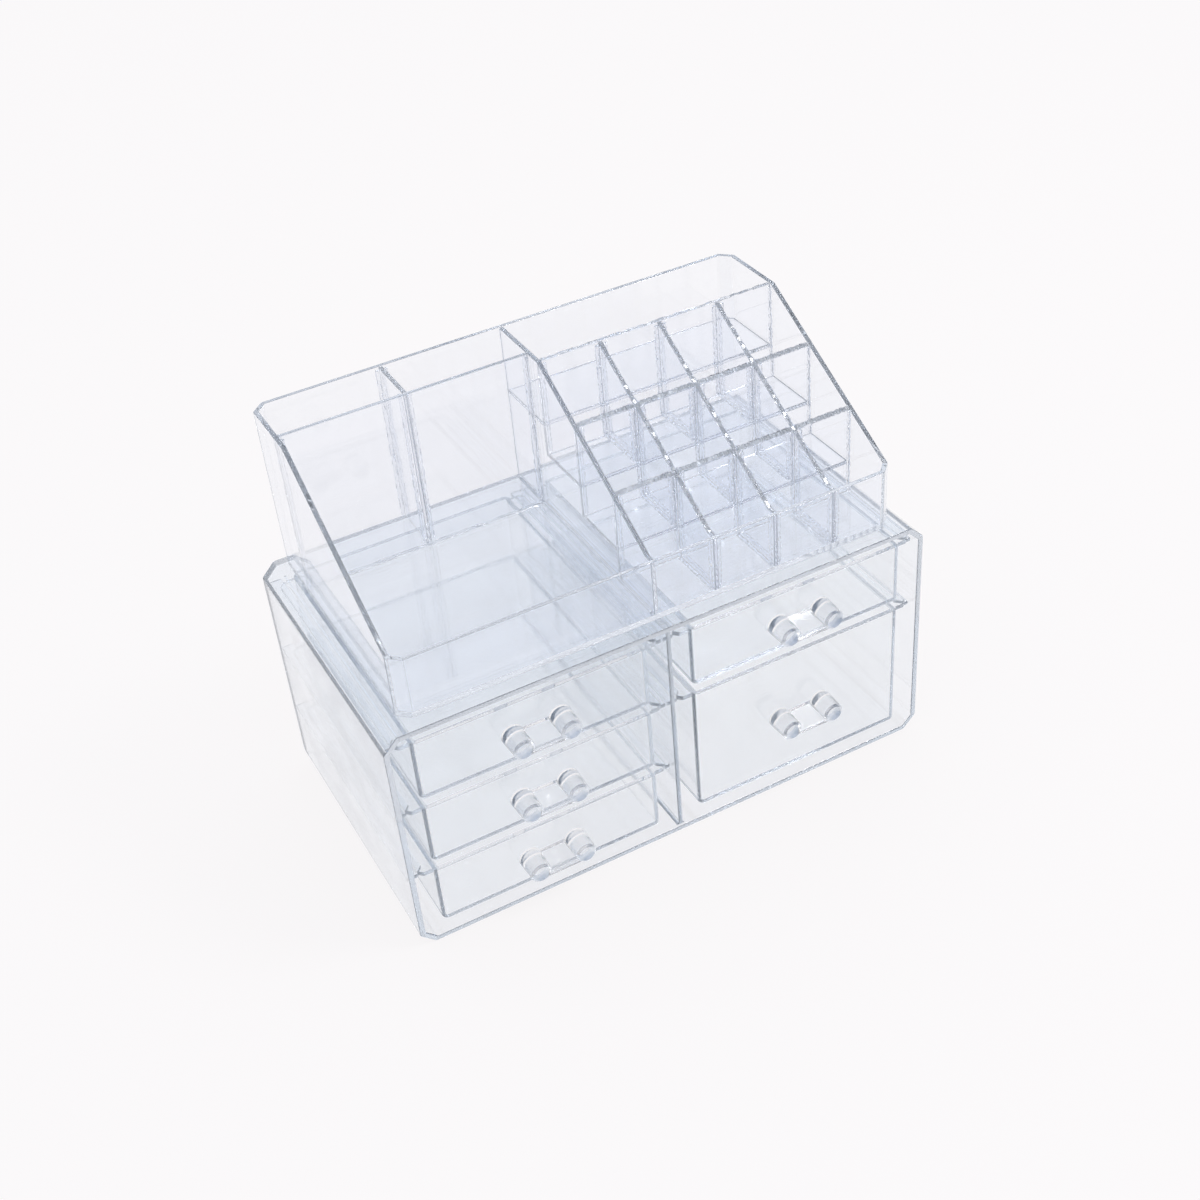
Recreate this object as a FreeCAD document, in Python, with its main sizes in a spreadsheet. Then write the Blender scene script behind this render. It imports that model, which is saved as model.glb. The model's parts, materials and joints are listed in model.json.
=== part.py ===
import FreeCAD, Part
import Sketcher
import math
import os
from types import SimpleNamespace

# Clear two-piece vanity organizer: a five-drawer case with a lift-off make-up tray on top.
# Frame: origin at the middle of the case's base, +X to the right, front towards -Y, +Z up.

doc = FreeCAD.newDocument("VanityOrganizer")
sheet = doc.addObject("Spreadsheet::Sheet", "Sizes")

NAMED_SIZES = {
    # drawer case
    "case_width": 240.0,
    "case_depth": 130.0,
    "case_height": 109.0,
    "case_bevel": 6.0,
    "case_round": 1.6,
    "case_inner_round": 1.0,
    "case_wall": 2.4,
    "case_back": 2.4,
    "edge_ease": 0.5,
    "divider_thickness": 2.0,
    "divider_set_back": 0.8,
    "divider_root": 1.2,
    # drawers, which take up the bays less these clearances
    "drawer_recess": 0.5,
    "drawer_rear_clearance": 4.1,
    "drawer_headroom": 4.1,
    "drawer_gap": 4.4,
    "drawer_ground_clearance": 5.5,
    "drawer_wall": 2.0,
    "drawer_floor": 2.0,
    "drawer_corner": 2.6,
    "flange_reach": 6.0,
    "flange_thickness": 2.0,
    "flange_corner": 2.0,
    "flange_side_clearance": 2.6,
    # runners
    "runner_thickness": 2.0,
    "runner_set_back": 5.0,
    "runner_lead": 3.0,
    "runner_clearance": 0.2,
    "runner_side_clearance": 3.0,
    # pulls
    "post_radius": 4.8,
    "post_tip_radius": 4.4,
    "post_ease": 0.9,
    "post_spacing": 20.2,
    "pull_reach": 11.0,
    "web_thickness": 2.0,
    "web_rise": 1.6,
    "web_drop": 3.6,
    "web_set_back": 0.4,
    # tray
    "tray_side_inset": 10.5,
    "tray_front_inset": 6.5,
    "tray_height": 73.5,
    "tray_front_height": 27.5,
    "tray_front_flat": 5.0,
    "tray_rear_flat": 36.5,
    "tray_bevel": 5.0,
    "tray_round": 1.0,
    "tray_wall": 2.0,
    "tray_floor": 2.0,
    "tray_rear_gap": 1.0,
    # sheets bonded into the tray
    "sheet_thickness": 2.0,
    "partition_offset": 1.0,
    "rear_pocket": 24.5,
    "step_rise": 14.2,
    "lap_clearance": 0.2,
    # length by which a cut runs past the solid
    "overrun": 5.0,
}
LEVELS = 3
ROWS = 3
COLUMNS = 4
# share of a wall's thickness by which a 45 degree bevel shortens towards the inside
MITRE_SHARE = 2 - math.sqrt(2)
# share of the pull's web thickness that rounds its front lip
LIP_SHARE = 0.4


class Size:
    """A length kept as a number and as the sheet text it follows."""

    def __init__(self, value, text):
        self.value = value
        self.text = text

    def join(self, other, sign, value):
        return Size(value, "(" + self.text + " " + sign + " " + other.text + ")")

    def __add__(self, other):
        other = as_size(other)
        return self.join(other, "+", self.value + other.value)

    def __sub__(self, other):
        other = as_size(other)
        return self.join(other, "-", self.value - other.value)

    def __mul__(self, share):
        share = as_size(share)
        return self.join(share, "*", self.value * share.value)

    def __truediv__(self, share):
        share = as_size(share)
        return self.join(share, "/", self.value / share.value)

    def __neg__(self):
        return zero - self


def as_size(number):
    return number if isinstance(number, Size) else Size(number, str(number))


zero = Size(0, "0")
for row, (name, value) in enumerate(NAMED_SIZES.items(), start=1):
    sheet.set("A" + str(row), name)
    sheet.set("B" + str(row), str(value))
    sheet.setAlias("B" + str(row), name)
doc.recompute()
s = SimpleNamespace(**{name: Size(value, "Sizes." + name) for name, value in NAMED_SIZES.items()})


def new_body(label, place=(zero, zero, zero)):
    """Starts a sub-part whose position follows the sizes."""
    body = doc.addObject("PartDesign::Body", label)
    body.Label = label
    for axis, shift in zip("xyz", place):
        body.setExpression("Placement.Base." + axis, shift.text)
    return body


def origin_plane(body, role):
    return next(item for item in body.Origin.OriginFeatures if item.Role == role)


def new_sketch(body, name, role, shift):
    sketch = body.newObject("Sketcher::SketchObject", name)
    sketch.AttachmentSupport = [(origin_plane(body, role), "")]
    sketch.MapMode = "FlatFace"
    if shift is not None:
        sketch.setExpression("AttachmentOffset.Base.z", shift.text)
    return sketch


def tie(sketch, kind, target, size):
    """Dimensions one point from the sketch's origin."""
    index = sketch.addConstraint(Sketcher.Constraint(kind, -1, 1, *target, size.value))
    sketch.setExpression("Constraints[" + str(index) + "]", size.text)


def outline(body, name, role, corners, shift=None):
    """Draws a closed outline of straight edges with every corner dimensioned."""
    corners = [(as_size(x), as_size(y)) for x, y in corners]
    sketch = new_sketch(body, name, role, shift)
    points = [FreeCAD.Vector(x.value, y.value, 0) for x, y in corners]
    count = len(points)
    for i in range(count):
        sketch.addGeometry(Part.LineSegment(points[i], points[(i + 1) % count]), False)
    for i in range(count):
        sketch.addConstraint(Sketcher.Constraint("Coincident", i, 2, (i + 1) % count, 1))
    for i, (x, y) in enumerate(corners):
        tie(sketch, "DistanceX", (i, 1), x)
        tie(sketch, "DistanceY", (i, 1), y)
    return sketch


def bevelled(half_width, front, rear, bevel):
    """Corners of a rectangle about the middle line with its corners cut off."""
    return [
        (-half_width + bevel, front),
        (half_width - bevel, front),
        (half_width, front + bevel),
        (half_width, rear - bevel),
        (half_width - bevel, rear),
        (-half_width + bevel, rear),
        (-half_width, rear - bevel),
        (-half_width, front + bevel),
    ]


def rectangle(left, right, low, high):
    return [(left, low), (right, low), (right, high), (left, high)]


def pad(body, sketch, length, name, midplane=False, reverse=False):
    feature = body.newObject("PartDesign::Pad", name)
    feature.Profile = sketch
    feature.setExpression("Length", length.text)
    feature.Midplane = midplane
    feature.Reversed = reverse
    sketch.Visibility = False
    return feature


def pocket(body, sketch, length, name, midplane=False, reverse=False):
    feature = body.newObject("PartDesign::Pocket", name)
    feature.Profile = sketch
    feature.setExpression("Length", length.text)
    feature.Midplane = midplane
    feature.Reversed = reverse
    sketch.Visibility = False
    return feature


def ease(body, feature, kind, size, name, wanted):
    """Rounds or bevels the edges of the last feature that the test picks."""
    doc.recompute()
    names = ["Edge" + str(i) for i, edge in enumerate(feature.Shape.Edges, start=1) if wanted(edge)]
    if not names:
        raise RuntimeError("no edge to ease for " + name)
    softened = body.newObject("PartDesign::" + kind, name)
    softened.Base = (feature, names)
    softened.setExpression("Radius" if kind == "Fillet" else "Size", size.text)
    return softened


def near(a, b):
    return abs(a - b) < 1e-4


def along(edge, axis):
    """True for a straight edge parallel to the axis."""
    if not isinstance(edge.Curve, Part.Line):
        return False
    return near(abs(getattr(edge.Curve.Direction, axis)), 1)


def on_level(edge, axis, level):
    """True where both ends of the edge lie at the level along the axis."""
    return all(near(getattr(v.Point, axis), level.value) for v in edge.Vertexes)


# places shared by several pieces
case_front = -s.case_depth / 2
case_rear = s.case_depth / 2
bay_floor = s.case_wall
bay_top = s.case_height - s.case_wall
bay_outer = s.case_width / 2 - s.case_wall
bay_inner = s.divider_thickness / 2
bay_middle = (bay_outer + bay_inner) / 2
bay_rear = case_rear - s.case_back

# drawers hang in each bay from the top, three small ones high
drawer_front = case_front + s.drawer_recess
drawer_length = bay_rear - drawer_front - s.drawer_rear_clearance
flange_room = s.flange_reach + s.flange_side_clearance
drawer_width = bay_outer - bay_inner - flange_room * 2
top_level = bay_top - s.drawer_headroom
stack_room = top_level - bay_floor - s.drawer_ground_clearance
drawer_height = (stack_room - s.drawer_gap * (LEVELS - 1)) / LEVELS
drawer_pitch = drawer_height + s.drawer_gap
tall_height = drawer_height + drawer_pitch
runner_width = flange_room - s.runner_side_clearance


def runner_level(level):
    """Underside of the runner that carries the flange of the drawer at the level."""
    return top_level - drawer_pitch * level - s.flange_thickness - s.runner_clearance - s.runner_thickness


def in_bay(point):
    """True for a point on the inner faces of the case."""
    middle = (bay_floor + bay_top) / 2
    wide = abs(point.x) < bay_outer.value + s.case_wall.value / 2
    tall = abs(point.z - middle.value) < (bay_top - middle + s.case_wall / 2).value
    return wide and tall and point.y < bay_rear.value + s.case_back.value / 2


def make_case():
    body = new_body("drawer_case")
    half = s.case_width / 2
    profile = outline(body, "CaseProfile", "XZ_Plane",
                      bevelled(half, zero, s.case_height, s.case_bevel), s.case_depth / 2)
    block = pad(body, profile, s.case_depth, "CaseBlock", reverse=True)
    ease(body, block, "Fillet", s.case_round, "LongEdges", lambda edge: along(edge, "y"))
    inner_bevel = s.case_bevel - s.case_wall * MITRE_SHARE
    cavity = outline(body, "CavityProfile", "XZ_Plane",
                     bevelled(bay_outer, bay_floor, bay_top, inner_bevel), s.case_depth / 2)
    hollow = pocket(body, cavity, s.case_depth - s.case_back, "Cavity")
    bay = ease(body, hollow, "Fillet", s.case_inner_round, "BayEdges",
               lambda edge: along(edge, "y") and in_bay(edge.Vertexes[0].Point))
    rim = ease(body, bay, "Fillet", s.edge_ease, "FrontEdge",
               lambda edge: on_level(edge, "y", case_front))
    ease(body, rim, "Fillet", s.edge_ease, "RearEdge",
         lambda edge: on_level(edge, "y", case_rear))
    return body


def make_divider():
    """Upright panel between the two drawer columns, with thickened roots at floor and top."""
    body = new_body("centre_divider", (zero, case_front + s.divider_set_back, zero))
    half = s.divider_thickness / 2
    root = half + s.divider_root
    profile = outline(body, "DividerProfile", "XZ_Plane", [
        (-root, bay_floor),
        (root, bay_floor),
        (half, bay_floor + s.divider_root),
        (half, bay_top - s.divider_root),
        (root, bay_top),
        (-root, bay_top),
        (-half, bay_top - s.divider_root),
        (-half, bay_floor + s.divider_root),
    ])
    pad(body, profile, bay_rear - case_front - s.divider_set_back, "DividerPanel", reverse=True)
    return body


def make_runner(label, wall, reach, level):
    """Ledge bonded to a bay's wall, its free front corner cut back to lead the flange in."""
    front = case_front + s.runner_set_back
    body = new_body(label, (wall, front, runner_level(level)))
    length = bay_rear - front
    profile = outline(body, "RunnerProfile", "XY_Plane", [
        (zero, zero),
        (zero, length),
        (reach, length),
        (reach, s.runner_lead),
        (reach / 2, zero),
    ])
    pad(body, profile, s.runner_thickness, "RunnerStrip")
    return body


def make_drawer(label, middle, level, height):
    """Open box hung from an outward flange along the top of each side."""
    bottom = top_level - drawer_pitch * level - drawer_height
    body = new_body(label, (middle, drawer_front, bottom - (height - drawer_height)))
    half = drawer_width / 2
    base = outline(body, "BoxProfile", "XY_Plane", rectangle(-half, half, zero, drawer_length))
    box = pad(body, base, height, "BoxBlock")
    rounded = ease(body, box, "Fillet", s.drawer_corner, "BoxCorners",
                   lambda edge: along(edge, "z"))
    under = ease(body, rounded, "Fillet", s.drawer_wall, "BoxFoot",
                 lambda edge: on_level(edge, "z", zero))
    wide = half + s.flange_reach
    cut = s.flange_corner
    lip = outline(body, "FlangeProfile", "XY_Plane", [
        (-wide + cut, s.drawer_wall),
        (wide - cut, s.drawer_wall),
        (wide, s.drawer_wall + cut),
        (wide, drawer_length - s.drawer_corner - cut),
        (wide - cut, drawer_length - s.drawer_corner),
        (-wide + cut, drawer_length - s.drawer_corner),
        (-wide, drawer_length - s.drawer_corner - cut),
        (-wide, s.drawer_wall + cut),
    ], height)
    pad(body, lip, s.flange_thickness, "Flange", reverse=True)
    inner = outline(body, "InsideProfile", "XY_Plane",
                    rectangle(-half + s.drawer_wall, half - s.drawer_wall,
                              s.drawer_wall, drawer_length - s.drawer_wall), height)
    hollow = pocket(body, inner, height - s.drawer_floor, "Inside")
    inside_corner = s.drawer_corner - s.drawer_wall
    ease(body, hollow, "Fillet", inside_corner, "InsideCorners",
         lambda edge: along(edge, "z") and abs(edge.Vertexes[0].X) < half.value - s.drawer_wall.value / 2
         and s.drawer_wall.value / 2 < edge.Vertexes[0].Y < drawer_length.value - s.drawer_wall.value / 2)
    return body


def make_pull(label, middle, level, height):
    """Two round posts joined by a finger web that falls towards the front."""
    bottom = top_level - drawer_pitch * level - height
    body = new_body(label, (middle, drawer_front, bottom + height / 2))
    front = -s.pull_reach + s.web_set_back
    side = outline(body, "WebProfile", "YZ_Plane", [
        (zero, s.web_rise),
        (zero, s.web_rise - s.web_thickness),
        (front, s.web_rise - s.web_thickness - s.web_drop),
        (front, s.web_rise - s.web_drop),
    ])
    web = pad(body, side, s.post_spacing, "Web", midplane=True)
    ease(body, web, "Fillet", s.web_thickness * LIP_SHARE, "WebLip",
         lambda edge: along(edge, "x") and on_level(edge, "y", front))
    axis = s.post_spacing / 2
    profile = outline(body, "PostProfile", "XY_Plane", [
        (axis, zero),
        (axis + s.post_radius, zero),
        (axis + s.post_tip_radius, -s.pull_reach + s.post_ease),
        (axis + s.post_tip_radius - s.post_ease, -s.pull_reach),
        (axis, -s.pull_reach),
    ])
    post = body.newObject("PartDesign::Revolution", "Post")
    post.Profile = profile
    post.ReferenceAxis = (profile, ["Edge5"])
    post.Angle = 360
    profile.Visibility = False
    pair = body.newObject("PartDesign::Mirrored", "PostPair")
    pair.Originals = [post]
    pair.MirrorPlane = (origin_plane(body, "YZ_Plane"), [""])
    body.Tip = pair
    return body


# tray places, measured from the tray's own base
tray_rear = case_rear - s.tray_rear_gap
tray_front = case_front + s.tray_front_inset
tray_half = s.case_width / 2 - s.tray_side_inset
room_half = tray_half - s.tray_wall
room_front = tray_front + s.tray_wall
room_rear = tray_rear - s.tray_wall
room_bevel = s.tray_bevel - s.tray_wall * MITRE_SHARE
knee = tray_rear - s.tray_rear_flat
slope_foot = tray_front + s.tray_front_flat
slope_share = (s.tray_height - s.tray_front_height) / (knee - slope_foot)
tray_seat = (zero, zero, s.case_height)
partition_left = -s.partition_offset - s.sheet_thickness / 2
partition_right = -s.partition_offset + s.sheet_thickness / 2


def slope_height(y):
    """Height of the falling top edge at a depth in front of the knee."""
    return s.tray_height - (knee - y) * slope_share


def top_profile(front, rear, low):
    """Side view of a fore-and-aft wall: level at the rear, then falling to a level front."""
    return [
        (front, low),
        (rear, low),
        (rear, s.tray_height),
        (knee, s.tray_height),
        (slope_foot, s.tray_front_height),
        (front, s.tray_front_height),
    ]


def make_tray():
    body = new_body("tray_shell", tray_seat)
    base = outline(body, "TrayProfile", "XY_Plane",
                   bevelled(tray_half, tray_front, tray_rear, s.tray_bevel))
    block = pad(body, base, s.tray_height, "TrayBlock")
    ease(body, block, "Fillet", s.tray_round, "UprightEdges", lambda edge: along(edge, "z"))
    above = s.tray_height + s.overrun
    fall = outline(body, "FallProfile", "YZ_Plane", [
        (tray_front - s.overrun, s.tray_front_height),
        (slope_foot, s.tray_front_height),
        (knee, s.tray_height),
        (knee, above),
        (tray_front - s.overrun, above),
    ])
    pocket(body, fall, s.case_width + s.overrun, "Fall", midplane=True)
    room = outline(body, "RoomProfile", "XY_Plane",
                   bevelled(room_half, room_front, room_rear, room_bevel), s.tray_height)
    hollow = pocket(body, room, s.tray_height - s.tray_floor, "Room")
    ease(body, hollow, "Fillet", s.edge_ease, "FootEdge",
         lambda edge: on_level(edge, "z", zero))
    return body


def make_fore_and_aft(label, left, profile):
    """Sheet that stands fore and aft, its left face at the given place."""
    body = new_body(label, tray_seat)
    sketch = outline(body, "SheetProfile", "YZ_Plane", profile, left)
    pad(body, sketch, s.sheet_thickness, "Sheet")
    return body


def make_crosswise(label, front, profile):
    """Sheet that stands across, its front face at the given place."""
    body = new_body(label, tray_seat)
    sketch = outline(body, "SheetProfile", "XZ_Plane", profile, -front)
    pad(body, sketch, s.sheet_thickness, "Sheet", reverse=True)
    return body


# the lipstick grid fills the right half of the tray in front of the knee
grid_left = partition_right
grid_right = room_half
slot_width = (grid_right - grid_left - s.sheet_thickness * (COLUMNS - 1)) / COLUMNS
slot_depth = (knee - room_front - s.sheet_thickness * (ROWS - 1)) / ROWS
column_pitch = slot_width + s.sheet_thickness
row_pitch = slot_depth + s.sheet_thickness
lap_half = s.lap_clearance / 2


def column_left(index):
    return grid_left + slot_width + column_pitch * index


def wall_front(index):
    """Front face of a cross wall, counted from the one at the knee."""
    return knee - row_pitch * index


def floor_level(index):
    """Top of a stepped floor, counted from the front row upwards to the rear pocket."""
    return s.tray_floor + s.step_rise * index


def lap_height(index):
    """Level where a cross wall's slots stop and the columns' slots begin."""
    return (slope_height(wall_front(index)) + floor_level(ROWS - index)) / 2


def make_cross_wall(label, index):
    """Cross wall that is also the riser of its step, slotted from above for the columns."""
    front = wall_front(index)
    rear = front + s.sheet_thickness
    low = floor_level(ROWS - 1 - index)
    if index < ROWS - 1:
        low = low - s.sheet_thickness
    body = new_body(label, tray_seat)
    blank = outline(body, "WallProfile", "YZ_Plane", [
        (front, low),
        (rear, low),
        (rear, s.tray_height if index == 0 else slope_height(rear)),
        (front, slope_height(front)),
    ], grid_left)
    pad(body, blank, grid_right - grid_left, "Wall")
    if index == 0:
        return body
    first = column_left(0)
    slot = outline(body, "LapProfile", "XZ_Plane",
                   rectangle(first - lap_half, first + s.sheet_thickness + lap_half,
                             lap_height(index), s.tray_height), -front)
    notch = pocket(body, slot, s.sheet_thickness, "Lap")
    row = body.newObject("PartDesign::LinearPattern", "Laps")
    row.Originals = [notch]
    row.Direction = (slot, ["H_Axis"])
    row.setExpression("Length", (column_pitch * (COLUMNS - 2)).text)
    row.Occurrences = COLUMNS - 1
    body.Tip = row
    return body


def make_step(label, index):
    """Raised floor between two cross walls, or behind the rear one."""
    level = floor_level(index)
    row = ROWS - index
    front = wall_front(row) + s.sheet_thickness
    rear = room_rear if row == 0 else wall_front(row - 1)
    corners = rectangle(grid_left, grid_right, front, rear)
    if row == 0:
        corners[2:3] = [(grid_right, rear - room_bevel), (grid_right - room_bevel, rear)]
    body = new_body(label, tray_seat)
    plan = outline(body, "StepPlan", "XY_Plane", corners, level)
    pad(body, plan, s.sheet_thickness, "Step", reverse=True)
    return body


def make_column(label, index):
    """Sloping column sheet with a stepped foot, slotted from below over the cross walls."""
    foot = [(room_front, floor_level(0)), (wall_front(ROWS - 1) - lap_half, floor_level(0))]
    for row in range(ROWS - 1, 0, -1):
        front = wall_front(row) - lap_half
        rear = wall_front(row) + s.sheet_thickness + lap_half
        top = lap_height(row)
        step = floor_level(ROWS - row)
        foot += [(front, top), (rear, top), (rear, step)]
        foot += [(wall_front(row - 1) - (zero if row == 1 else lap_half), step)]
    profile = foot + [
        (knee, s.tray_height),
        (slope_foot, s.tray_front_height),
        (room_front, s.tray_front_height),
    ]
    return make_fore_and_aft(label, column_left(index), profile)


def make_tray_sheets():
    floor = s.tray_floor
    pieces = [make_fore_and_aft("tray_centre_partition", partition_left,
                                top_profile(room_front, room_rear, floor))]
    panel_rear = room_rear - s.rear_pocket
    panel_front = panel_rear - s.sheet_thickness
    pieces.append(make_crosswise("left_rear_panel", panel_front,
                                 rectangle(-room_half, partition_left, floor, s.tray_height)))
    middle = (-room_half + partition_left - s.sheet_thickness) / 2
    pieces.append(make_fore_and_aft("left_cross_partition", middle,
                                    rectangle(panel_rear, room_rear, floor, s.tray_height)))
    for index, place in enumerate(("rear", "middle", "front")):
        pieces.append(make_cross_wall("grid_wall_" + place, index))
    for index, place in enumerate(("lower", "middle", "upper"), start=1):
        pieces.append(make_step("grid_step_" + place, index))
    for index, place in enumerate(("left", "middle", "right")):
        pieces.append(make_column("grid_column_" + place, index))
    return pieces


def make_drawers():
    """Drawers, pulls and the runners on both sides of each drawer."""
    stacks = (
        ("left", -bay_middle, ((0, "upper", drawer_height), (1, "middle", drawer_height),
                               (2, "lower", drawer_height))),
        ("right", bay_middle, ((0, "upper", drawer_height), (1, "lower", tall_height))),
    )
    pieces = []
    for side, middle, drawers in stacks:
        outward = side == "right"
        for level, place, height in drawers:
            name = side + "_" + place
            pieces.append(make_drawer(name + "_drawer", middle, level, height))
            pieces.append(make_pull(name + "_pull", middle, level, height))
            outer = bay_outer if outward else -bay_outer
            inner = bay_inner if outward else -bay_inner
            inwards = -runner_width if outward else runner_width
            pieces.append(make_runner(name + "_wall_runner", outer, inwards, level))
            pieces.append(make_runner(name + "_divider_runner", inner, -inwards, level))
    return pieces


pieces = [make_case(), make_divider()] + make_drawers() + [make_tray()] + make_tray_sheets()
doc.recompute()

for item in doc.Objects:
    if "Invalid" in item.State or "Error" in item.State:
        raise RuntimeError(item.Label + " did not build")
os.makedirs("parts", exist_ok=True)
for piece in pieces:
    if piece.Shape.isNull() or not piece.Shape.isValid():
        raise RuntimeError(piece.Label + " is not a sound solid")
    if len(piece.Shape.Solids) != 1:
        raise RuntimeError(piece.Label + " is not one solid")
    piece.Shape.exportStep("parts/" + piece.Label + ".step")
    print(piece.Label, round(piece.Shape.Volume))
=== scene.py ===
import json
import math

import bpy
from bpy.props import FloatProperty, FloatVectorProperty, IntProperty, PointerProperty
from mathutils import Euler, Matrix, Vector

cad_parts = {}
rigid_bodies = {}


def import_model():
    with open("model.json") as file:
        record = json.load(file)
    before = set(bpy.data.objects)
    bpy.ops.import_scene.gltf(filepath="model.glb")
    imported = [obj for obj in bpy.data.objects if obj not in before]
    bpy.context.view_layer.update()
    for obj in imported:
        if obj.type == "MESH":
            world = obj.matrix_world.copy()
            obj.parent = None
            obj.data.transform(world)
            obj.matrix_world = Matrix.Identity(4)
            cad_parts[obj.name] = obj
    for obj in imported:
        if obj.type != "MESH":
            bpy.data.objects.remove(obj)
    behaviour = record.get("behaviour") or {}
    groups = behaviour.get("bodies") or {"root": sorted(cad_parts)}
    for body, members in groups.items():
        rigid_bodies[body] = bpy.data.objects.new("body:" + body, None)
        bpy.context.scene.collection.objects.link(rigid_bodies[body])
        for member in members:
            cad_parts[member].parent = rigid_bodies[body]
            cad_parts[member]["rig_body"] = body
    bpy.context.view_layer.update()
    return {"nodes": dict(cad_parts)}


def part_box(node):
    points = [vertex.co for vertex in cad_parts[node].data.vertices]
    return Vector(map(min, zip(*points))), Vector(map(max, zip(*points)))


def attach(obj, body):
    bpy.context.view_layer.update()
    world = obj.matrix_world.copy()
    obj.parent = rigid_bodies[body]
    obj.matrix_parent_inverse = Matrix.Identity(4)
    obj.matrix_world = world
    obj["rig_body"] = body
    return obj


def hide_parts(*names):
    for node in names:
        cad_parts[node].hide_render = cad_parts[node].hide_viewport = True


bl_info = {
    "name": "Clear vanity organizer",
    "version": (1, 0, 0),
    "blender": (4, 5, 0),
    "location": "3D View > Sidebar > Organizer",
    "description": "Builds the clear drawer case and make-up tray around its packed frame",
    "category": "Add Mesh",
}

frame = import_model()
MM = 0.001
DRAWERS = ("left_upper", "left_middle", "left_lower", "right_upper", "right_lower")
PARTITIONS = ("tray_centre_partition", "left_rear_panel", "left_cross_partition")
GRID_WALLS = ("grid_wall_front", "grid_wall_middle", "grid_wall_rear")
GRID_STEPS = ("grid_step_lower", "grid_step_middle", "grid_step_upper")
GRID_COLUMNS = ("grid_column_left", "grid_column_middle", "grid_column_right")
X, Y, Z = Vector((1, 0, 0)), Vector((0, 1, 0)), Vector((0, 0, 1))

# Limits on the parts of a unit normal that sort faces and edges by the way they face.
FACES_UP = 0.25
SAME_WAY = 0.99
ROUNDING_LEAST = 0.1
ROUNDING_MOST = 0.95

# A face helps to set a corner's normal if it has over one part in this many of the largest face's area.
RULING_PART = 3

# Depths of a stud's socket in the drawer's front and in the pull's foot, in bond films.
BOX_SOCKET = 1
PULL_SOCKET = 2

# A socket's floor is known by its depth, to one part in this many of a bond film.
BOND_PART = 3

# Sides of round bodies, and the seeds and mix of the random offsets.
STUD_SIDES = 48
BEAD_SIDES = 10
FLOOR_SIDES = 96
SAW_SEED = 7
SAW_SIDEWAYS = 0.1
SAW_INWARDS = 0.9
BEAD_SEED = 3
BEAD_EVENNESS = 0.3

# Noise of the plastic's haze and waves, and the span of the haze in shares of the mean roughness.
HAZE_NOISE = {"Scale": 60.0, "Detail": 4.0, "Roughness": 0.6}
WAVE_NOISE = {"Scale": 22.0, "Detail": 1.0, "Roughness": 0.4}
HAZE_LOW, HAZE_HIGH = 0.35, 0.75
GLOSS_LOW, GLOSS_HIGH = 0.5, 1.8

# A sound bond takes nothing from light and does not bend it.
CLEAR_TINT = (1.0, 1.0, 1.0)
NO_REFRACTION = 1.0

# The floor lies this far below the case, and the camera has this sensor and sees nothing nearer than this.
FLOOR_DROP = 0.1 * MM
FLOOR_ROUGHNESS = 0.9
SENSOR_WIDTH = 36.0
NEAREST_SEEN = 0.01


class OrganizerShape(bpy.types.PropertyGroup):
    """Small sizes that the mouldings and sheets get on top of their construction."""

    moulded_round: FloatProperty(
        name="Moulded edge", description="Width of the rounding on moulded edges",
        default=0.65 * MM, unit="LENGTH")
    rim_round: FloatProperty(
        name="Tray edge", description="Width of the rounding on the edges of the tray's shell",
        default=0.9 * MM, unit="LENGTH")
    sheet_round: FloatProperty(
        name="Sheet edge", description="Width of the rounding on the edges of the bonded sheets",
        default=0.38 * MM, unit="LENGTH")
    round_steps: IntProperty(
        name="Edge steps", description="Number of faces across a rounded edge", default=3, min=1)
    sharp_angle: FloatProperty(
        name="Sharp angle", description="Edges sharper than this are rounded",
        default=math.radians(40), subtype="ANGLE")
    smooth_angle: FloatProperty(
        name="Smooth angle", description="Faces that meet at less than this are shaded as one curve",
        default=math.radians(32), subtype="ANGLE")
    bond_gap: FloatProperty(
        name="Bond film", description="Thickness of the film between bonded faces",
        default=0.03 * MM, unit="LENGTH")
    stud_share: FloatProperty(
        name="Stud", description="Radius of a post's stud as a share of the post's own", default=0.6,
        subtype="FACTOR")
    bead_radius: FloatProperty(
        name="Bead", description="Radius of the cement bead along a bonded joint",
        default=0.7 * MM, unit="LENGTH")
    bead_wander: FloatProperty(
        name="Bead wander", description="How far the surface of a cement bead wanders",
        default=0.3 * MM, unit="LENGTH")
    bead_cuts: IntProperty(
        name="Bead cuts", description="Number of rings along a cement bead", default=36)
    saw_depth: FloatProperty(
        name="Saw marks", description="Depth of the marks on the sawn top edges",
        default=0.3 * MM, unit="LENGTH")
    saw_cuts: IntProperty(
        name="Saw cuts", description="Number of marks along a sawn top edge", default=50)
    saw_span: FloatProperty(
        name="Saw span", description="Top edges longer than this have saw marks",
        default=15 * MM, unit="LENGTH")
    facet_angle: FloatProperty(
        name="Facet angle", description="Facets of a sawn sheet that meet at more than this stay sharp",
        default=math.radians(9), subtype="ANGLE")
    front_bead: FloatProperty(
        name="Front bead", description="Height of the cement beads along the grid's front ends",
        default=25 * MM, unit="LENGTH")
    bead_smooth: FloatProperty(
        name="Bead smooth angle", description="Faces of a bead that meet at less than this are one curve",
        default=math.radians(70), subtype="ANGLE")
    flat_angle: FloatProperty(
        name="Flat angle", description="Faces of the construction mesh within this are made one flat face",
        default=math.radians(0.5), subtype="ANGLE")
    merge_distance: FloatProperty(
        name="Merge distance", description="Points of the construction mesh closer than this are joined",
        default=0.002 * MM, unit="LENGTH")


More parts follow.
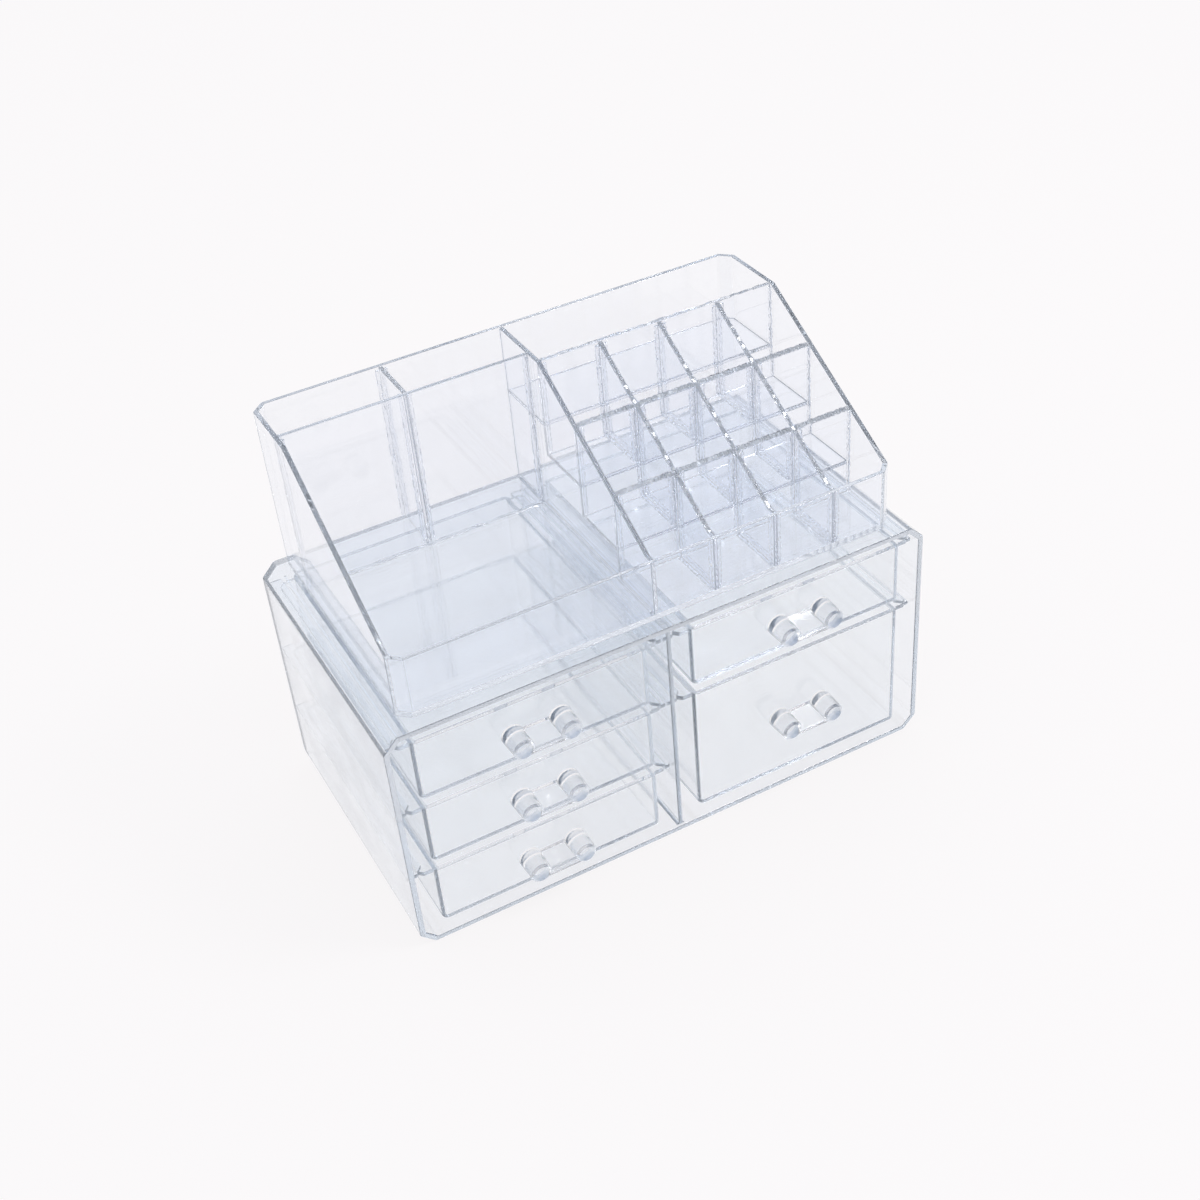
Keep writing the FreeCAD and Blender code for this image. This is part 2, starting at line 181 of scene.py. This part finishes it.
class OrganizerFinish(bpy.types.PropertyGroup):
    """Clear plastic and how it takes light."""

    refraction: FloatProperty(
        name="Index of refraction", description="Index of refraction of clear polystyrene", default=1.57)
    case_tint: FloatVectorProperty(
        name="Case tint", description="Colour of one wall of the case seen face on",
        default=(0.955, 0.971, 0.991), subtype="COLOR", size=3)
    drawer_tint: FloatVectorProperty(
        name="Drawer tint", description="Colour of one wall of a drawer seen face on",
        default=(0.988, 0.995, 1.0), subtype="COLOR", size=3)
    pull_tint: FloatVectorProperty(
        name="Pull tint", description="Colour of a pull seen face on",
        default=(0.99, 0.99, 0.995), subtype="COLOR", size=3)
    tray_tint: FloatVectorProperty(
        name="Tray tint", description="Colour of one wall of the tray seen face on",
        default=(0.973, 0.981, 0.999), subtype="COLOR", size=3)
    cement_tint: FloatVectorProperty(
        name="Cement tint", description="Colour of a bead of cement seen face on",
        default=(0.925, 0.935, 0.955), subtype="COLOR", size=3)
    depth_colour: FloatVectorProperty(
        name="Colour in depth", description="Colour that light keeps on a long way through the plastic",
        default=(0.72, 0.77, 0.83), subtype="COLOR", size=3)
    tray_density: FloatProperty(
        name="Tray density", description="How fast the tray's plastic takes on its depth colour, per metre",
        default=3.0)
    case_density: FloatProperty(
        name="Case density", description="How fast the case's plastic takes on its depth colour, per metre",
        default=6.0)
    pull_density: FloatProperty(
        name="Pull density", description="How fast a pull's plastic takes on its depth colour, per metre",
        default=1.0)
    pull_gloss: FloatProperty(
        name="Pull roughness", description="Mean roughness of the pulls' faces", default=0.12)
    tray_gloss: FloatProperty(
        name="Tray roughness", description="Mean roughness of the tray's polished faces", default=0.025)
    case_gloss: FloatProperty(
        name="Case roughness", description="Mean roughness of the case's and drawers' faces", default=0.065)
    sawn_gloss: FloatProperty(
        name="Sawn roughness", description="Roughness of matt roundings on sawn edges and the tray's foot",
        default=0.35)
    wave_height: FloatProperty(
        name="Wave height", description="Height of the long faint waves of a moulded face",
        default=0.6 * MM, unit="LENGTH")
    waves: FloatProperty(
        name="Waves", description="Strength of the long faint waves of a moulded face", default=0.2)


class OrganizerStage(bpy.types.PropertyGroup):
    """Floor, light and camera."""

    floor_colour: FloatVectorProperty(
        name="Floor", description="Colour of the floor",
        default=(0.955, 0.94, 0.945), subtype="COLOR", size=3)
    paper_colour: FloatVectorProperty(
        name="Paper", description="Colour that the lit white paper of the floor shows",
        default=(0.965, 0.948, 0.955), subtype="COLOR", size=3)
    paper_share: FloatProperty(
        name="Paper share", description="Share of the floor's look that is evenly lit paper, without shadow",
        default=0.93, subtype="FACTOR")
    floor_radius: FloatProperty(
        name="Floor radius", description="Half the width of the round floor", default=4.0, unit="LENGTH")
    sky_colour: FloatVectorProperty(
        name="Sky", description="Colour of the studio's white ceiling and rear wall",
        default=(0.935, 0.958, 1.0), subtype="COLOR", size=3)
    dim_colour: FloatVectorProperty(
        name="Dim side", description="Colour of the studio behind the camera and low at both sides",
        default=(0.30, 0.33, 0.40), subtype="COLOR", size=3)
    dim_level: FloatProperty(
        name="Dim level", description="Share of the way to the bright side up to which the studio is dim",
        default=0.46, subtype="FACTOR")
    bright_level: FloatProperty(
        name="Bright level", description="Share of the way to the bright side where the studio is brightest",
        default=0.72, subtype="FACTOR")
    bright_side: FloatVectorProperty(
        name="Bright side", description="Direction from the object towards the brightest part of the studio",
        default=(0.0, 0.6, 0.8), subtype="DIRECTION", size=3)
    softbox_place: FloatVectorProperty(
        name="Softbox", description="Place of the softbox", default=(0.70, -0.48, 1.3),
        subtype="TRANSLATION", size=3)
    softbox_width: FloatProperty(
        name="Softbox width", description="Width of the softbox", default=0.4, unit="LENGTH")
    softbox_height: FloatProperty(
        name="Softbox height", description="Height of the softbox", default=0.4, unit="LENGTH")
    softbox_power: FloatProperty(
        name="Softbox power", description="Power of the softbox", default=7.0, unit="POWER")
    wall_crossings: IntProperty(
        name="Wall crossings", description="Faces of clear plastic that light is followed through",
        default=256)
    inner_reflections: IntProperty(
        name="Inner reflections", description="Reflections in the plastic that light is followed through",
        default=200)
    camera_place: FloatVectorProperty(
        name="Camera", description="Place of the camera", default=(-0.24207, -0.51939, 0.52068),
        subtype="TRANSLATION", size=3)
    camera_turn: FloatVectorProperty(
        name="Camera turn", description="Turn of the camera about X, Y and Z",
        default=(math.radians(52.320), math.radians(4.356), math.radians(-28.582)), subtype="EULER", size=3)
    camera_lens: FloatProperty(
        name="Lens", description="Focal length in millimetres on a 36 mm sensor", default=51.68)


def shape():
    """The sizes of the small shapes."""
    return bpy.context.scene.organizer_shape


def finish():
    """The values of the plastic."""
    return bpy.context.scene.organizer_finish


def only(obj):
    """Leaves one object selected and active."""
    bpy.ops.object.select_all(action="DESELECT")
    obj.select_set(True)
    bpy.context.view_layer.objects.active = obj


def edit_all(obj):
    """Opens the object in edit mode with all of it selected."""
    only(obj)
    bpy.ops.object.mode_set(mode="EDIT")
    bpy.ops.mesh.select_all(action="SELECT")


def edit_some(obj, kind, wanted):
    """Opens the object in edit mode with only the wanted vertices, edges or faces selected."""
    only(obj)
    bpy.ops.object.mode_set(mode="EDIT")
    bpy.ops.mesh.select_mode(type=kind)
    bpy.ops.mesh.select_all(action="DESELECT")
    bpy.ops.object.mode_set(mode="OBJECT")
    parts = {"VERT": obj.data.vertices, "EDGE": obj.data.edges, "FACE": obj.data.polygons}[kind]
    for part in parts:
        part.select = wanted(part)
    bpy.ops.object.mode_set(mode="EDIT")


def leave_edit():
    """Closes edit mode."""
    bpy.ops.object.mode_set(mode="OBJECT")


def apply_modifier(obj, kind, **settings):
    """Adds a modifier and makes its result part of the mesh."""
    modifier = obj.modifiers.new(kind.lower(), kind)
    for name, value in settings.items():
        setattr(modifier, name, value)
    only(obj)
    bpy.ops.object.modifier_apply(modifier=modifier.name)


def copy_of_node(node, name):
    """A new object with the node's mesh, its points joined and its flat faces made whole."""
    mesh = frame["nodes"][node].data.copy()
    mesh.name = name
    mesh.materials.clear()
    obj = bpy.data.objects.new(name, mesh)
    bpy.context.scene.collection.objects.link(obj)
    edit_all(obj)
    bpy.ops.mesh.remove_doubles(threshold=shape().merge_distance)
    bpy.ops.mesh.dissolve_limited(angle_limit=shape().flat_angle)
    leave_edit()
    return obj


def draw_in(obj):
    """Moves every face inwards, which leaves a film between bonded faces."""
    edit_all(obj)
    bpy.ops.transform.shrink_fatten(value=-shape().bond_gap, use_even_offset=True)
    leave_edit()


def round_edges(obj, width):
    """Rounds the sharp edges and splits the faces that are not convex."""
    apply_modifier(obj, "BEVEL", width=width, segments=shape().round_steps, limit_method="ANGLE",
                   angle_limit=shape().sharp_angle, use_clamp_overlap=True)
    edit_all(obj)
    bpy.ops.mesh.vert_connect_concave()
    leave_edit()


def true_flats(obj, smooth_angle=None):
    """Sets shading normals: flat faces stay flat, and each rounding turns evenly from one to the next."""
    only(obj)
    bpy.ops.object.shade_smooth()
    mesh = obj.data
    faces = mesh.polygons
    around = [[] for _ in mesh.vertices]
    for face in faces:
        for point in face.vertices:
            around[point].append(face.index)
    limit = math.cos(smooth_angle or shape().smooth_angle)
    normals = []
    for face in faces:
        for point in face.vertices:
            near = [faces[i] for i in around[point] if faces[i].normal.dot(face.normal) > limit]
            near.sort(key=lambda f: f.area, reverse=True)
            ruling = [f for f in near if f.area > near[0].area / RULING_PART]
            normals.append(sum((f.normal * f.area for f in ruling), Vector()).normalized())
    mesh.normals_split_custom_set(normals)


def seat(piece, body, slot, *materials):
    """Gives the piece its finish and the body that it moves with."""
    for material in materials:
        piece.data.materials.append(material)
    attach(piece, body)


def stand_for(piece, node, slot, *materials):
    """Seats the piece in the stead of its construction node."""
    seat(piece, frame["nodes"][node]["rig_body"], slot, *materials)
    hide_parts(node)


def add_node(tree, kind, place, **inputs):
    """Adds a shader node and sets some of its inputs."""
    node = tree.nodes.new(kind)
    node.location = place
    for name, value in inputs.items():
        node.inputs[name.replace("_", " ")].default_value = value
    return node


def clear_plastic(name, tint, density, gloss):
    """Clear polished plastic that greys in depth, with the faint waves and haze of a moulding."""
    material = bpy.data.materials.get(name)
    if material:
        return material
    material = bpy.data.materials.new(name)
    material.use_nodes = True
    tree = material.node_tree
    surface = tree.nodes["Principled BSDF"]
    surface.inputs["Base Color"].default_value = (*tint, 1)
    surface.inputs["Transmission Weight"].default_value = 1.0
    surface.inputs["IOR"].default_value = finish().refraction
    place = add_node(tree, "ShaderNodeTexCoord", (-1100, 0))
    haze = add_node(tree, "ShaderNodeTexNoise", (-800, 100), **HAZE_NOISE)
    tree.links.new(place.outputs["Object"], haze.inputs["Vector"])
    level = add_node(tree, "ShaderNodeMapRange", (-500, 100), From_Min=HAZE_LOW, From_Max=HAZE_HIGH,
                     To_Min=gloss * GLOSS_LOW, To_Max=gloss * GLOSS_HIGH)
    tree.links.new(haze.outputs["Fac"], level.inputs["Value"])
    tree.links.new(level.outputs["Result"], surface.inputs["Roughness"])
    wave = add_node(tree, "ShaderNodeTexNoise", (-800, -250), **WAVE_NOISE)
    tree.links.new(place.outputs["Object"], wave.inputs["Vector"])
    bump = add_node(tree, "ShaderNodeBump", (-300, -250), Strength=finish().waves,
                    Distance=finish().wave_height)
    tree.links.new(wave.outputs["Fac"], bump.inputs["Height"])
    tree.links.new(bump.outputs["Normal"], surface.inputs["Normal"])
    inside = add_node(tree, "ShaderNodeVolumeAbsorption", (0, -400))
    inside.inputs["Color"].default_value = (*finish().depth_colour, 1)
    inside.inputs["Density"].default_value = density
    tree.links.new(inside.outputs["Volume"], tree.nodes["Material Output"].inputs["Volume"])
    return material


def case_plastic():
    """The plastic of the case, its divider and its runners."""
    values = finish()
    return clear_plastic("case_clear_plastic", values.case_tint, values.case_density, values.case_gloss)


def drawer_plastic():
    """The plastic of the drawers."""
    values = finish()
    return clear_plastic("drawer_clear_plastic", values.drawer_tint, values.case_density, values.case_gloss)


def pull_plastic():
    """The plastic of the pulls."""
    values = finish()
    return clear_plastic("pull_clear_plastic", values.pull_tint, values.pull_density, values.pull_gloss)


def tray_plastic():
    """The plastic of the tray's shell and sheets."""
    values = finish()
    return clear_plastic("tray_clear_plastic", values.tray_tint, values.tray_density, values.tray_gloss)


def cement():
    """The cement in the corners of the tray's joints."""
    return clear_plastic("clear_cement", finish().cement_tint, finish().tray_density, finish().tray_gloss)


def bonded_face():
    """The inner face of a sound bond, which light passes without bending."""
    name = "sound_bond"
    material = bpy.data.materials.get(name)
    if material:
        return material
    material = clear_plastic(name, CLEAR_TINT, finish().case_density, finish().tray_gloss)
    material.node_tree.nodes["Principled BSDF"].inputs["IOR"].default_value = NO_REFRACTION
    return material


def sawn_end():
    """The matt face of a sawn edge, and of the tray's foot."""
    name = "sawn_end"
    material = bpy.data.materials.get(name)
    if material:
        return material
    material = clear_plastic(name, finish().tray_tint, finish().tray_density, finish().tray_gloss)
    tree = material.node_tree
    roughness = tree.nodes["Principled BSDF"].inputs["Roughness"]
    tree.links.remove(roughness.links[0])
    roughness.default_value = finish().sawn_gloss
    return material


class ORGANIZER_OT_case(bpy.types.Operator):
    """Makes the bevelled drawer case"""
    bl_idname = "organizer.case"
    bl_label = "Drawer case"

    def execute(self, context):
        piece = copy_of_node("drawer_case", "drawer_case_moulding")
        round_edges(piece, shape().moulded_round)
        true_flats(piece)
        stand_for(piece, "drawer_case", "case_plastic", case_plastic())
        return {"FINISHED"}


class ORGANIZER_OT_divider(bpy.types.Operator):
    """Makes the upright panel between the drawer columns, and the runners"""
    bl_idname = "organizer.divider"
    bl_label = "Divider and runners"

    def execute(self, context):
        runners = [drawer + side for drawer in DRAWERS for side in ("_wall_runner", "_divider_runner")]
        for node in ["centre_divider"] + runners:
            piece = copy_of_node(node, node + "_moulding")
            draw_in(piece)
            round_edges(piece, shape().moulded_round)
            true_flats(piece)
            stand_for(piece, node, "case_plastic", case_plastic())
        return {"FINISHED"}


class ORGANIZER_OT_drawers(bpy.types.Operator):
    """Makes the five flanged drawers and the pulls of two posts and a finger web"""
    bl_idname = "organizer.drawers"
    bl_label = "Drawers and pulls"

    def execute(self, context):
        for drawer in DRAWERS:
            pull = copy_of_node(drawer + "_pull", drawer + "_pull_moulding")
            box = copy_of_node(drawer + "_drawer", drawer + "_drawer_moulding")
            round_edges(box, shape().moulded_round)
            low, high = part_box(drawer + "_pull")
            ease_foot(pull, high.y)
            join_by_studs(box, pull, low, high)
            for piece in (pull, box):
                true_flats(piece)
            stand_for(box, drawer + "_drawer", "drawer_plastic", drawer_plastic(), bonded_face())
            stand_for(pull, drawer + "_pull", "pull_plastic", pull_plastic(), bonded_face())
            mark_bond(box, high.y + BOX_SOCKET * shape().bond_gap, -Y)
            mark_bond(pull, high.y - PULL_SOCKET * shape().bond_gap, Y)
        return {"FINISHED"}


def ease_foot(pull, foot):
    """Draws the pull's foot off the drawer's front by the thickness of the bond film."""
    edit_some(pull, "VERT", lambda v: v.co.y > foot - shape().merge_distance)
    bpy.ops.transform.translate(value=-shape().bond_gap * Y)
    leave_edit()


def join_by_studs(box, pull, low, high):
    """Makes the shallow sockets of the two studs in the drawer's front and in the pull's foot."""
    radius = (high.z - low.z) / 2
    middle = (low.z + high.z) / 2
    for x in (low.x + radius, high.x - radius):
        for piece, films in ((box, BOX_SOCKET), (pull, PULL_SOCKET)):
            bpy.ops.object.select_all(action="DESELECT")
            bpy.ops.mesh.primitive_cylinder_add(
                vertices=STUD_SIDES, radius=radius * shape().stud_share, depth=2 * films * shape().bond_gap,
                location=(x, high.y, middle), rotation=(math.radians(90), 0, 0))
            bpy.ops.object.transform_apply(location=True, rotation=True, scale=True)
            stud = bpy.context.object
            apply_modifier(piece, "BOOLEAN", operation="DIFFERENCE", object=stud, solver="EXACT")
            bpy.data.objects.remove(stud)


def mark_bond(piece, depth, facing):
    """Gives the bonded material to the faces that lie at that depth and face that way."""
    for face in piece.data.polygons:
        if abs(face.center.y - depth) < shape().bond_gap / BOND_PART and face.normal.dot(facing) > SAME_WAY:
            face.material_index = 1


def on_rounding(face, axis):
    """Tells whether the face lies on the rounding of an edge, between across the axis and along it."""
    return ROUNDING_LEAST < abs(face.normal.dot(axis)) < ROUNDING_MOST


class ORGANIZER_OT_tray(bpy.types.Operator):
    """Makes the tray's moulded shell, which stands on the case"""
    bl_idname = "organizer.tray"
    bl_label = "Tray shell"

    def execute(self, context):
        piece = copy_of_node("tray_shell", "tray_shell_moulding")
        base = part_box("tray_shell")[0].z
        edit_some(piece, "VERT", lambda v: v.co.z < base + shape().merge_distance)
        bpy.ops.transform.translate(value=shape().bond_gap * Z)
        leave_edit()
        round_edges(piece, shape().rim_round)
        true_flats(piece)
        stand_for(piece, "tray_shell", "tray_plastic", tray_plastic(), sawn_end())
        for face in piece.data.polygons:
            if face.center.z < base + shape().rim_round and on_rounding(face, Z):
                face.material_index = 1
        return {"FINISHED"}


class ORGANIZER_OT_sheets(bpy.types.Operator):
    """Makes the sheets bonded into the tray: partitions, cross walls, steps and columns"""
    bl_idname = "organizer.sheets"
    bl_label = "Tray sheets"

    def execute(self, context):
        for node in PARTITIONS + GRID_WALLS + GRID_STEPS + GRID_COLUMNS:
            piece = copy_of_node(node, node + "_sheet")
            draw_in(piece)
            round_edges(piece, shape().sheet_round)
            if node in GRID_COLUMNS + GRID_WALLS:
                saw_marks(piece)
            true_flats(piece, shape().facet_angle)
            stand_for(piece, node, "tray_plastic", tray_plastic(), sawn_end())
            frost_edges(piece, node)
        return {"FINISHED"}


def frost_edges(piece, node):
    """Gives the sawn material to the narrow roundings along the edges of a sheet."""
    low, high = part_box(node)
    size = high - low
    thin = min(range(3), key=lambda axis: size[axis])
    for face in piece.data.polygons:
        if on_rounding(face, (X, Y, Z)[thin]):
            face.material_index = 1


def saw_marks(piece):
    """Breaks the long top edges into short uneven facets."""
    points = piece.data.vertices

    def on_top(edge):
        start, end = (points[i] for i in edge.vertices)
        return min(start.normal.z, end.normal.z) > FACES_UP and (end.co - start.co).length > shape().saw_span

    edit_some(piece, "EDGE", on_top)
    bpy.ops.mesh.subdivide(number_cuts=shape().saw_cuts)
    bpy.ops.transform.vertex_random(offset=shape().saw_depth, uniform=SAW_SIDEWAYS, normal=SAW_INWARDS,
                                    seed=SAW_SEED)
    leave_edit()


class ORGANIZER_OT_bonds(bpy.types.Operator):
    """Makes the beads of cement along the joints of the tray's sheets"""
    bl_idname = "organizer.bonds"
    bl_label = "Bond lines"

    def execute(self, context):
        make_beads("grid_bond_lines", grid_joints())
        make_beads("panel_bond_lines", panel_joints())
        return {"FINISHED"}


def grid_joints():
    """Start, end and the two open sides of each joint line in the lipstick grid."""
    columns = [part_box(node) for node in GRID_COLUMNS]
    walls = [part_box(node) for node in GRID_WALLS]
    floors = [columns[0][0].z] + [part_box(node)[1].z for node in GRID_STEPS[:2]]
    fronts = [columns[0][0].y] + [wall[1].y for wall in walls[:2]]
    front_tops = [walls[0][0].z + shape().front_bead] + [wall[1].z for wall in walls[:2]]
    for floor, front, front_top, wall in zip(floors, fronts, front_tops, walls):
        rear, rear_top = wall[0].y, wall[1].z
        for low, high in columns:
            for x, side in ((low.x, -X), (high.x, X)):
                yield Vector((x, front, floor)), Vector((x, rear, floor)), side, Z
                yield Vector((x, rear, floor)), Vector((x, rear, rear_top)), side, -Y
                yield Vector((x, front, floor)), Vector((x, front, front_top)), side, Y
        for x, side in ((wall[0].x, X), (wall[1].x, -X)):
            yield Vector((x, rear, floor)), Vector((x, rear, rear_top)), side, -Y


def panel_joints():
    """Start, end and the two open sides of each joint line of the left half's panels."""
    panel_low, panel_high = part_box("left_rear_panel")
    cross_low, cross_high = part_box("left_cross_partition")
    middle_low, middle_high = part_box("tray_centre_partition")
    top = panel_high.z
    floor = panel_low.z
    for x, side in ((panel_low.x, X), (panel_high.x, -X)):
        for y, facing in ((panel_low.y, -Y), (panel_high.y, Y)):
            yield Vector((x, y, floor)), Vector((x, y, top)), side, facing
    for x, side in ((cross_low.x, -X), (cross_high.x, X)):
        for y, facing in ((cross_low.y, Y), (cross_high.y, -Y)):
            yield Vector((x, y, floor)), Vector((x, y, top)), side, facing
    yield Vector((panel_low.x, panel_low.y, floor)), Vector((panel_high.x, panel_low.y, floor)), -Y, Z
    yield Vector((middle_low.x, middle_low.y, floor)), Vector((middle_low.x, panel_low.y, floor)), -X, Z


def make_beads(name, joints):
    """One piece with an uneven bead of cement in the corner of each joint."""
    radius = shape().bead_radius
    clear = radius + shape().bead_wander
    beads = []
    for start, end, side, facing in joints:
        run = (end - start).normalized()
        start = start + (side + facing + run) * clear
        end = end + (side + facing - run) * clear
        bpy.ops.object.select_all(action="DESELECT")
        bpy.ops.mesh.primitive_cylinder_add(vertices=BEAD_SIDES, radius=radius, depth=(end - start).length,
                                            location=(start + end) / 2,
                                            rotation=run.to_track_quat("Z", "Y").to_euler())
        bpy.ops.object.transform_apply(location=True, rotation=True, scale=True)
        beads.append(bpy.context.object)
    only(beads[0])
    for bead in beads:
        bead.select_set(True)
    bpy.ops.object.join()
    piece = bpy.context.object
    piece.name = name
    points = piece.data.vertices

    def lengthwise(edge):
        start, end = (points[i].co for i in edge.vertices)
        return (start - end).length > 2 * radius

    edit_some(piece, "EDGE", lengthwise)
    bpy.ops.mesh.subdivide(number_cuts=shape().bead_cuts)
    bpy.ops.mesh.select_all(action="SELECT")
    bpy.ops.transform.vertex_random(offset=shape().bead_wander, uniform=BEAD_EVENNESS, seed=BEAD_SEED)
    leave_edit()
    bpy.ops.object.shade_smooth_by_angle(angle=shape().bead_smooth)
    seat(piece, "tray", "tray_plastic", cement())


class ORGANIZER_OT_stage(bpy.types.Operator):
    """Makes the floor, the studio light and the camera"""
    bl_idname = "organizer.stage"
    bl_label = "Stage"

    def execute(self, context):
        values = context.scene.organizer_stage
        make_floor(values)
        make_sky(context.scene, values)
        make_softbox(context.scene, values)
        make_camera(context.scene, values)
        set_light_paths(context.scene, values)
        context.scene.view_settings.view_transform = "Standard"
        return {"FINISHED"}


def seen_directly(tree, share):
    """A socket that gives the share to rays from the camera and from clear plastic, and 0 to others."""
    path = add_node(tree, "ShaderNodeLightPath", (-900, -500))
    bent = add_node(tree, "ShaderNodeMath", (-700, -500))
    bent.operation = "MAXIMUM"
    tree.links.new(path.outputs["Is Glossy Ray"], bent.inputs[0])
    tree.links.new(path.outputs["Is Transmission Ray"], bent.inputs[1])
    direct = add_node(tree, "ShaderNodeMath", (-500, -500))
    direct.operation = "MAXIMUM"
    tree.links.new(path.outputs["Is Camera Ray"], direct.inputs[0])
    tree.links.new(bent.outputs["Value"], direct.inputs[1])
    part = add_node(tree, "ShaderNodeMath", (-300, -500))
    part.operation = "MULTIPLY"
    tree.links.new(direct.outputs["Value"], part.inputs[0])
    part.inputs[1].default_value = share
    return part.outputs["Value"]


def make_floor(values):
    """A round floor of lit white paper that takes faint shadows."""
    bpy.ops.object.select_all(action="DESELECT")
    bpy.ops.mesh.primitive_circle_add(vertices=FLOOR_SIDES, radius=values.floor_radius, fill_type="NGON",
                                      location=(0, 0, -FLOOR_DROP))
    floor = bpy.context.object
    floor.name = "studio_floor"
    material = bpy.data.materials.new("studio_floor")
    material.use_nodes = True
    tree = material.node_tree
    surface = tree.nodes["Principled BSDF"]
    surface.inputs["Base Color"].default_value = (*values.floor_colour, 1)
    surface.inputs["Roughness"].default_value = FLOOR_ROUGHNESS
    surface.inputs["Specular IOR Level"].default_value = 0.0
    paper = add_node(tree, "ShaderNodeEmission", (0, -400), Strength=1.0)
    paper.inputs["Color"].default_value = (*values.paper_colour, 1)
    mix = add_node(tree, "ShaderNodeMixShader", (400, 0))
    tree.links.new(seen_directly(tree, values.paper_share), mix.inputs["Fac"])
    tree.links.new(surface.outputs["BSDF"], mix.inputs[1])
    tree.links.new(paper.outputs["Emission"], mix.inputs[2])
    tree.links.new(mix.outputs["Shader"], tree.nodes["Material Output"].inputs["Surface"])
    floor.data.materials.append(material)


def make_sky(scene, values):
    """White studio ceiling and rear wall, dimmer behind the camera and low at both sides."""
    world = bpy.data.worlds.new("studio")
    scene.world = world
    world.use_nodes = True
    tree = world.node_tree
    sky = tree.nodes["Background"]
    place = add_node(tree, "ShaderNodeTexCoord", (-900, 0))
    towards_rear = add_node(tree, "ShaderNodeVectorMath", (-700, 0))
    towards_rear.operation = "DOT_PRODUCT"
    tree.links.new(place.outputs["Generated"], towards_rear.inputs[0])
    towards_rear.inputs[1].default_value = values.bright_side
    level = add_node(tree, "ShaderNodeMapRange", (-600, -200), From_Min=-1.0, From_Max=1.0)
    tree.links.new(towards_rear.outputs["Value"], level.inputs["Value"])
    ramp = add_node(tree, "ShaderNodeValToRGB", (-500, 0))
    ramp.color_ramp.elements[0].position = values.dim_level
    ramp.color_ramp.elements[0].color = (*values.dim_colour, 1)
    ramp.color_ramp.elements[1].position = values.bright_level
    ramp.color_ramp.elements[1].color = (*values.sky_colour, 1)
    tree.links.new(level.outputs["Result"], ramp.inputs["Fac"])
    tree.links.new(ramp.outputs["Color"], sky.inputs["Color"])
    sky.inputs["Strength"].default_value = 1.0


def make_softbox(scene, values):
    """A soft lamp in front, high at the right, which draws the highlights along the rounded edges."""
    lamp = bpy.data.lights.new("front_softbox", "AREA")
    lamp.shape = "RECTANGLE"
    lamp.size = values.softbox_width
    lamp.size_y = values.softbox_height
    lamp.energy = values.softbox_power
    softbox = bpy.data.objects.new("front_softbox", lamp)
    scene.collection.objects.link(softbox)
    softbox.location = values.softbox_place
    softbox.rotation_euler = (-Vector(values.softbox_place)).to_track_quat("-Z", "Y").to_euler()


def set_light_paths(scene, values):
    """Lets light cross all the clear walls that stand one behind another."""
    scene.cycles.max_bounces = values.wall_crossings
    scene.cycles.transmission_bounces = values.wall_crossings
    scene.cycles.glossy_bounces = values.inner_reflections
    scene.cycles.caustics_reflective = False
    scene.cycles.caustics_refractive = False


def make_camera(scene, values):
    """The camera as solved from the photo."""
    lens = bpy.data.cameras.new("photo_camera")
    lens.lens = values.camera_lens
    lens.sensor_width = SENSOR_WIDTH
    lens.clip_start = NEAREST_SEEN
    camera = bpy.data.objects.new("photo_camera", lens)
    scene.collection.objects.link(camera)
    camera.location = values.camera_place
    camera.rotation_euler = Euler(values.camera_turn)
    scene.camera = camera


class ORGANIZER_PT_panel(bpy.types.Panel):
    """Lists the sizes, finishes and steps that build the organizer"""
    bl_idname = "ORGANIZER_PT_panel"
    bl_label = "Clear vanity organizer"
    bl_space_type = "VIEW_3D"
    bl_region_type = "UI"
    bl_category = "Organizer"

    def draw(self, context):
        for step in STEPS:
            self.layout.operator(step.bl_idname)
        for group in ("organizer_shape", "organizer_finish", "organizer_stage"):
            values = getattr(context.scene, group)
            box = self.layout.box()
            for name in values.bl_rna.properties.keys():
                if name not in ("rna_type", "name"):
                    box.prop(values, name)


GROUPS = (OrganizerShape, OrganizerFinish, OrganizerStage)
STEPS = (
    ORGANIZER_OT_case,
    ORGANIZER_OT_divider,
    ORGANIZER_OT_drawers,
    ORGANIZER_OT_tray,
    ORGANIZER_OT_sheets,
    ORGANIZER_OT_bonds,
    ORGANIZER_OT_stage,
)


def register():
    for item in GROUPS + STEPS + (ORGANIZER_PT_panel,):
        bpy.utils.register_class(item)
    bpy.types.Scene.organizer_shape = PointerProperty(type=OrganizerShape)
    bpy.types.Scene.organizer_finish = PointerProperty(type=OrganizerFinish)
    bpy.types.Scene.organizer_stage = PointerProperty(type=OrganizerStage)


def unregister():
    del bpy.types.Scene.organizer_stage
    del bpy.types.Scene.organizer_finish
    del bpy.types.Scene.organizer_shape
    for item in (ORGANIZER_PT_panel,) + STEPS[::-1] + GROUPS[::-1]:
        bpy.utils.unregister_class(item)


def main():
    register()
    bpy.ops.organizer.case()
    bpy.ops.organizer.divider()
    bpy.ops.organizer.drawers()
    bpy.ops.organizer.tray()
    bpy.ops.organizer.sheets()
    bpy.ops.organizer.bonds()
    bpy.ops.organizer.stage()


if __name__ == "__main__":
    main()
